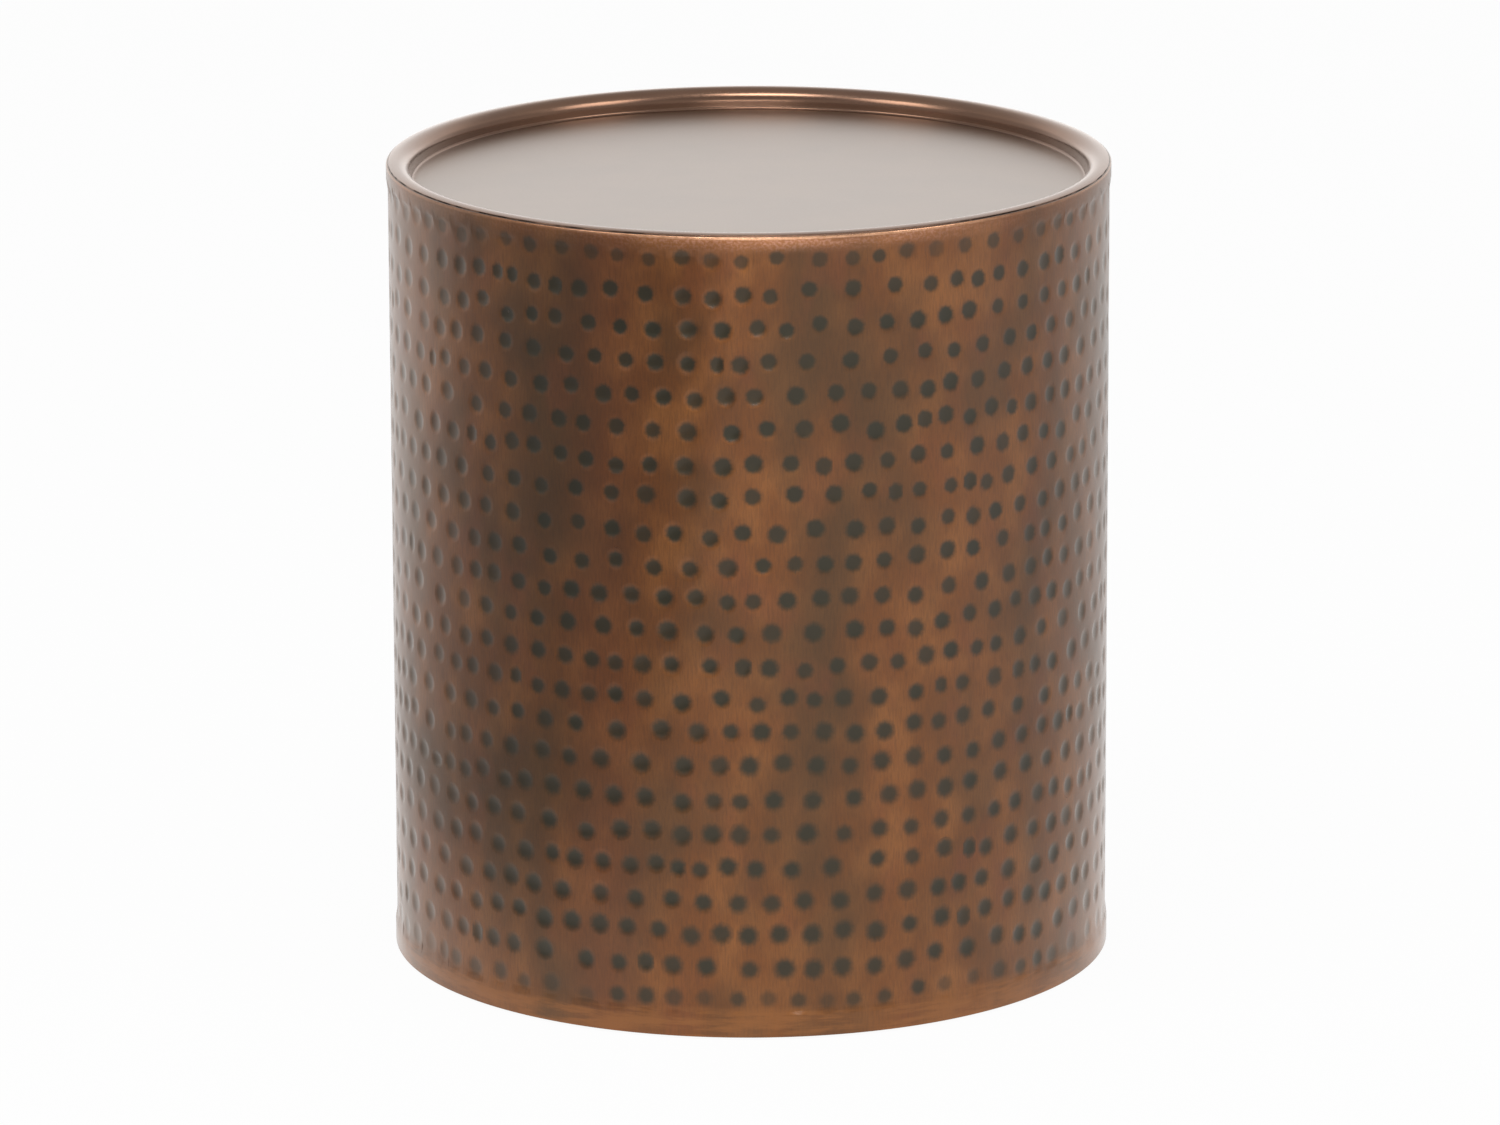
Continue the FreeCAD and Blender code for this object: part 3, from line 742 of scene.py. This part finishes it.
def lacquered_bronze(finish):
    """Bronzed steel, spun and lacquered: satin on the flat under a painted pale sheen, bright on the rim,
    painted shade in groove and joint.
    """
    material, tree, shader = new_material("spun_steel_bronzed_lacquered")
    place = add(tree, "TexCoord", output="Object")
    right = add(tree, "SeparateXYZ", place, output="X")
    back = add(tree, "SeparateXYZ", place, output="Y")
    radius = add(tree, "VectorMath", add(tree, "CombineXYZ", right, back), operation="LENGTH")
    rim = min(PAN_HIGH.x, PAN_HIGH.y)
    clouds = grain(tree, place, 45 * MM, 3, 0.55)
    fine = grain(tree, place, 0.8 * MM, 2, 0.7)  # the spinning tool's marks, drawn coarser so that they show

    clouding = add(tree, "MapRange", clouds, 0.35, 0.7, 0.0, 0.25, **SMOOTH)
    clouded = add(tree, "Mix", clouding, finish.bronze, linear("#6A4A3C"), **COLOURS)
    specks = add(tree, "MapRange", fine, 0.4, 0.8, 0.0, 0.2, **SMOOTH)
    speckled = add(tree, "Mix", specks, clouded, linear("#94786A"), **COLOURS)
    # the flat inside the rim is mixed toward pale grey: a painted sheen of its grazing reflection
    pale_sheen_share = add(tree, "MapRange", radius, rim - 17 * MM, rim - 13 * MM, 0.4, 0.0, **SMOOTH)
    with_pale_sheen = add(tree, "Mix", pale_sheen_share, speckled, linear("#B6B0A6"), **COLOURS)

    # painted shade at the foot of the groove, and painted shade in the joint with the drum, lighter in front
    into_groove = add(tree, "MapRange", radius, rim - 13.5 * MM, rim - 12.7 * MM, 0.0, 0.5, **SMOOTH)
    out_of_groove = add(tree, "MapRange", radius, rim - 12.1 * MM, rim - 11.2 * MM, 1.0, 0.0, **SMOOTH)
    in_groove = add(tree, "Math", into_groove, out_of_groove, operation="MULTIPLY")
    groove_shaded = add(tree, "Mix", in_groove, with_pale_sheen, linear("#3A2A24"), **COLOURS)
    uneven = add(tree, "MapRange", grain(tree, place, 9 * MM, 2, 0.5), 0.35, 0.6, 0.3, 0.9, **SMOOTH)
    from_front = off_line(tree, right, 30 * MM)
    joint_shade_sides = add(tree, "MapRange", from_front, 15 * MM, 110 * MM, 0.1, 1.0, **SMOOTH)
    joint_shade_breakup = add(tree, "Math", uneven, joint_shade_sides, operation="MULTIPLY")
    in_joint = add(tree, "MapRange", radius, rim - 0.22 * MM, rim - 0.1 * MM, **SMOOTH)
    joint_shade = add(tree, "Math", in_joint, joint_shade_breakup, operation="MULTIPLY")
    joint_shaded = add(tree, "Mix", joint_shade, groove_shaded, linear("#1E1612"), **COLOURS)
    tree.links.new(joint_shaded, shader.inputs["Base Color"])

    satin = add(tree, "MapRange", radius, rim - 16 * MM, rim - 13 * MM, 0.34, 0.2, **SMOOTH)
    marks = add(tree, "MapRange", fine, 0.3, 0.7, 0.0, 0.05, **SMOOTH)
    spun = add(tree, "Math", satin, marks, operation="ADD")
    dulling = add(tree, "Math", joint_shade, 0.3, operation="MULTIPLY")
    rough = add(tree, "Math", spun, dulling, operation="ADD")
    tree.links.new(rough, shader.inputs["Roughness"])
    bump = add(tree, "Bump", 0.25, 0.02 * MM, None, fine)
    tree.links.new(bump, shader.inputs["Normal"])
    # the coat is left off where the groove and the joint are painted in shade
    shaded_places = add(tree, "Math", joint_shade, in_groove, operation="MAXIMUM")
    unshaded = add(tree, "Math", 1.0, shaded_places, operation="SUBTRACT")
    tree.links.new(unshaded, shader.inputs["Coat Weight"])
    shader.inputs["Coat Roughness"].default_value = 0.26
    shader.inputs["Metallic"].default_value = 1.0
    shader.inputs["Specular Tint"].default_value = linear("#FFFCF8")
    return material


def plain_metal(name, base, patch, patch_size, roughness):
    """A bare or plated steel with patches of a second tone and fine grain."""
    material, tree, shader = new_material(name)
    place = add(tree, "TexCoord", output="Object")
    patches = grain(tree, place, patch_size, 4, 0.6)
    patching = add(tree, "MapRange", patches, 0.4, 0.65, **SMOOTH)
    patched = add(tree, "Mix", patching, base, patch, **COLOURS)
    tree.links.new(patched, shader.inputs["Base Color"])
    rough = add(tree, "MapRange", patches, 0.3, 0.7, roughness, roughness + 0.14, **SMOOTH)
    tree.links.new(rough, shader.inputs["Roughness"])
    bump = add(tree, "Bump", 0.3, 0.04 * MM, None, grain(tree, place, 1.0 * MM, 2, 0.6))
    tree.links.new(bump, shader.inputs["Normal"])
    shader.inputs["Metallic"].default_value = 1.0
    return material


def fibreboard(finish):
    """Medium density fibreboard: short matted fibres, dull and brown."""
    material, tree, shader = new_material("fibreboard_sanded")
    place = add(tree, "TexCoord", output="Object")
    fibres = grain(tree, place, 1.6 * MM, 4, 0.7, (2.5, 1, 1))
    matting = add(tree, "MapRange", fibres, 0.35, 0.7, **SMOOTH)
    matted = add(tree, "Mix", matting, finish.board, linear("#6F5132"), **COLOURS)
    patches = add(tree, "MapRange", grain(tree, place, 40 * MM, 3, 0.5), 0.4, 0.7, 0, 0.3, **SMOOTH)
    patched = add(tree, "Mix", patches, matted, linear("#A58258"), **COLOURS)
    tree.links.new(patched, shader.inputs["Base Color"])
    bump = add(tree, "Bump", 0.4, 0.1 * MM, None, fibres)
    tree.links.new(bump, shader.inputs["Normal"])
    shader.inputs["Roughness"].default_value = 0.85
    return material


def moulded_rubber(finish):
    """Moulded black rubber: near black, with a dull bloom."""
    material, tree, shader = new_material("rubber_moulded")
    place = add(tree, "TexCoord", output="Object")
    bloom = grain(tree, place, 4 * MM, 4, 0.65)
    blooming = add(tree, "MapRange", bloom, 0.45, 0.75, 0, 0.6, **SMOOTH)
    bloomed = add(tree, "Mix", blooming, finish.rubber, linear("#2C2C2E"), **COLOURS)
    tree.links.new(bloomed, shader.inputs["Base Color"])
    rough = add(tree, "MapRange", bloom, 0.3, 0.7, 0.6, 0.8, **SMOOTH)
    tree.links.new(rough, shader.inputs["Roughness"])
    bump = add(tree, "Bump", 0.3, 0.05 * MM, None, bloom)
    tree.links.new(bump, shader.inputs["Normal"])
    return material


def dress(nodes, material):
    """Give CAD nodes that keep their shape a finished material."""
    for name in nodes:
        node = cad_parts[name]
        node.data.materials.clear()
        node.data.materials.append(material)


# ---- stage ----


def pale_floor():
    """A wide pale floor with the table's shadow on it: white to the lens, duller to both sides in metal."""
    bm = bmesh.new()
    bmesh.ops.create_circle(bm, cap_ends=True, segments=96, radius=9.0)
    mesh = bpy.data.meshes.new("floor")
    bm.to_mesh(mesh)
    bm.free()
    floor = bpy.data.objects.new("floor", mesh)
    bpy.context.scene.collection.objects.link(floor)
    material = bpy.data.materials.new("paper_white")
    material.use_nodes = True
    tree = material.node_tree
    tree.nodes.clear()
    to_lens = add(tree, "LightPath", output="Is Camera Ray")
    in_gloss = add(tree, "LightPath", output="Is Glossy Ray")
    in_glass = add(tree, "LightPath", output="Is Transmission Ray")
    place = add(tree, "TexCoord", output="Object")
    right = add(tree, "SeparateXYZ", place, output="X")
    back = add(tree, "SeparateXYZ", place, output="Y")
    leftward = add(tree, "MapRange", right, -0.6, -0.12, 0.6, 0.0, **SMOOTH)
    forward = add(tree, "MapRange", back, 0.0, 0.9, 1.0, 0.35, **SMOOTH)
    dull_left = add(tree, "Math", leftward, forward, operation="MULTIPLY")
    rightward = add(tree, "MapRange", right, 0.12, 0.6, 0.0, 0.35, **SMOOTH)
    backward = add(tree, "MapRange", back, -0.5, 0.1, **SMOOTH)
    dull_right = add(tree, "Math", rightward, backward, operation="MULTIPLY")
    less_left = add(tree, "Math", 1.0, dull_left, operation="SUBTRACT")
    lit = add(tree, "Math", less_left, dull_right, operation="SUBTRACT")
    level = add(tree, "Math", lit, to_lens, operation="MAXIMUM")
    mirrored = add(tree, "Math", in_gloss, in_glass, operation="MAXIMUM")
    seen = add(tree, "Math", to_lens, mirrored, operation="MAXIMUM")
    glowing = add(tree, "Math", seen, 0.96, operation="MULTIPLY")
    paper = add(tree, "BsdfDiffuse", linear("#E4E4E4"))
    glow = add(tree, "Emission", (1, 1, 1, 1), level)
    add(tree, "OutputMaterial", add(tree, "MixShader", glowing, paper, glow))
    mesh.materials.append(material)


def studio_air():
    """White all round for the lens; for metal, a wall behind, brightest low down, and a room dim overhead."""
    world = bpy.data.worlds.new("studio")
    bpy.context.scene.world = world
    world.use_nodes = True
    tree = world.node_tree
    tree.nodes.clear()
    to_lens = add(tree, "LightPath", output="Is Camera Ray")
    direction = add(tree, "TexCoord", output="Generated")
    back = add(tree, "SeparateXYZ", direction, output="Y")
    high = add(tree, "SeparateXYZ", direction, output="Z")
    wall_low, wall_high, room_low, room_high = [math.sin(math.radians(rise)) for rise in (24, 64, 12, 40)]
    wall = add(tree, "MapRange", high, wall_low, wall_high, 1.0, 0.0, **SMOOTH)
    backward = add(tree, "MapRange", back, 0.2, 0.65, **SMOOTH)
    brightness = add(tree, "MapRange", high, 0.0, 0.26, 1.45, 0.95, **SMOOTH)
    behind = add(tree, "Math", backward, brightness, operation="MULTIPLY")
    wall_behind = add(tree, "Math", wall, behind, operation="MULTIPLY")
    room = add(tree, "MapRange", high, room_low, room_high, 0.75, 0.45, **SMOOTH)
    lit = add(tree, "Math", wall_behind, room, operation="MAXIMUM")
    level = add(tree, "Mix", to_lens, lit, (1, 1, 1, 1), **COLOURS)
    add(tree, "OutputWorld", add(tree, "Background", level, 1.0))


def area_light(name, place, aim, width, height, watts):
    """A soft rectangular light that the lens doesn't see."""
    light = bpy.data.lights.new(name, "AREA")
    light.shape = "RECTANGLE"
    light.size, light.size_y, light.energy = width, height, watts
    lamp = bpy.data.objects.new(name, light)
    bpy.context.scene.collection.objects.link(lamp)
    lamp.location = place
    lamp.rotation_euler = (Vector(aim) - Vector(place)).to_track_quat("-Z", "Y").to_euler()
    lamp.visible_camera = False


def set_camera(studio):
    """The camera in front of the table, tilted down to it."""
    data = bpy.data.cameras.new("camera")
    data.lens, data.sensor_width = studio.lens, 36.0
    data.clip_end = 100.0
    camera = bpy.data.objects.new("camera", data)
    bpy.context.scene.collection.objects.link(camera)
    camera.location = (0, -studio.distance, studio.height)
    aim = Matrix.Rotation(math.pi / 2 - studio.tilt, 3, "X") @ Matrix.Rotation(studio.roll, 3, "Z")
    camera.rotation_euler = aim.to_euler()
    bpy.context.scene.camera = camera


# ---- operators ----


class DRUMTABLE_OT_hammer_drum(bpy.types.Operator):
    """Build the rolled drum with its hammer marks, bands and seam"""

    bl_idname = "drumtable.hammer_drum"
    bl_label = "Hammer Drum"

    def execute(self, context):
        scene = context.scene
        hammer_drum(scene.drum_settings, copper_plate(scene.finish_settings, scene.drum_settings))
        return {"FINISHED"}


class DRUMTABLE_OT_spin_top(bpy.types.Operator):
    """Spin the dished top with its rolled rim"""

    bl_idname = "drumtable.spin_top"
    bl_label = "Spin Top"

    def execute(self, context):
        scene = context.scene
        spin_top(scene.top_settings, lacquered_bronze(scene.finish_settings))
        return {"FINISHED"}


class DRUMTABLE_OT_dress_inside(bpy.types.Operator):
    """Finish the board, brackets, ring and strip inside the drum"""

    bl_idname = "drumtable.dress_inside"
    bl_label = "Dress Inside"

    def execute(self, context):
        finish = context.scene.finish_settings
        # hot rolled steel keeps patches of dark mill scale; zinc plate is pale with a faint spangle
        steel = plain_metal("steel_hot_rolled", finish.steel, linear("#332E2A"), 18 * MM, 0.42)
        zinc = plain_metal("steel_zinc_plated", finish.zinc, linear("#8F9194"), 6 * MM, 0.3)
        dress(["base_ring", "seam_strip"], steel)
        brackets = [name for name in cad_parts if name.startswith("deck_bracket_")]
        dress(brackets + ["deck_screws", "foot_nuts"], zinc)
        dress(["deck_board"], fibreboard(finish))
        thread_studs(zinc)
        return {"FINISHED"}


class DRUMTABLE_OT_lay_welds(bpy.types.Operator):
    """Lay the rippled weld beads on the ring and beside the brackets"""

    bl_idname = "drumtable.lay_welds"
    bl_label = "Lay Welds"

    def execute(self, context):
        # weld metal is grey, stained brown by its heat
        weld = plain_metal("weld_metal", context.scene.finish_settings.weld, linear("#3A2E28"), 5 * MM, 0.4)
        weld_ring(weld)
        weld_brackets(weld)
        return {"FINISHED"}


class DRUMTABLE_OT_mould_feet(bpy.types.Operator):
    """Mould the rubber feet"""

    bl_idname = "drumtable.mould_feet"
    bl_label = "Mould Feet"

    def execute(self, context):
        rubber = moulded_rubber(context.scene.finish_settings)
        for number in range(1, 5):
            mould_foot(number, rubber)
        return {"FINISHED"}


class DRUMTABLE_OT_set_stage(bpy.types.Operator):
    """Set the floor, the light and the camera"""

    bl_idname = "drumtable.set_stage"
    bl_label = "Set Stage"

    def execute(self, context):
        studio = context.scene.studio_settings
        context.scene.view_settings.view_transform = "Standard"
        pale_floor()
        studio_air()
        rim = (0, 0.1, 0.45)
        area_light("top_softbox", (-0.18, -0.86, 2.12), rim, 0.75, 0.5, studio.top_light)
        area_light("front_card", (0, -2.9, 0.8), rim, 1.5, 0.25, studio.front_light)
        area_light("right_softbox", (1.67, -0.9, 1.88), rim, 0.9, 0.9, studio.side_lights)
        area_light("left_softbox", (-1.63, -0.86, 1.86), rim, 0.9, 0.9, studio.side_lights)
        set_camera(studio)
        return {"FINISHED"}


class DRUMTABLE_PT_tools(bpy.types.Panel):
    """The table's pieces, in the order they are built"""

    bl_idname = "DRUMTABLE_PT_tools"
    bl_label = "Drum Table"
    bl_space_type = "VIEW_3D"
    bl_region_type = "UI"
    bl_category = "Drum Table"

    def draw(self, context):
        for operator in OPERATORS:
            self.layout.operator(operator.bl_idname)


SETTINGS = {
    "drum_settings": DrumSettings,
    "top_settings": TopSettings,
    "finish_settings": FinishSettings,
    "studio_settings": StudioSettings,
}
OPERATORS = (
    DRUMTABLE_OT_hammer_drum,
    DRUMTABLE_OT_spin_top,
    DRUMTABLE_OT_dress_inside,
    DRUMTABLE_OT_lay_welds,
    DRUMTABLE_OT_mould_feet,
    DRUMTABLE_OT_set_stage,
)


def register():
    for kind in (*SETTINGS.values(), *OPERATORS, DRUMTABLE_PT_tools):
        bpy.utils.register_class(kind)
    for name, kind in SETTINGS.items():
        setattr(bpy.types.Scene, name, PointerProperty(type=kind))


def unregister():
    for name in SETTINGS:
        delattr(bpy.types.Scene, name)
    for kind in (DRUMTABLE_PT_tools, *reversed(OPERATORS), *reversed(SETTINGS.values())):
        bpy.utils.unregister_class(kind)


def main():
    """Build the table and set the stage."""
    register()
    for operator in OPERATORS:
        group, name = operator.bl_idname.split(".")
        if getattr(getattr(bpy.ops, group), name)() != {"FINISHED"}:
            raise RuntimeError(f"{operator.bl_label} didn't finish")


if __name__ == "__main__":
    main()
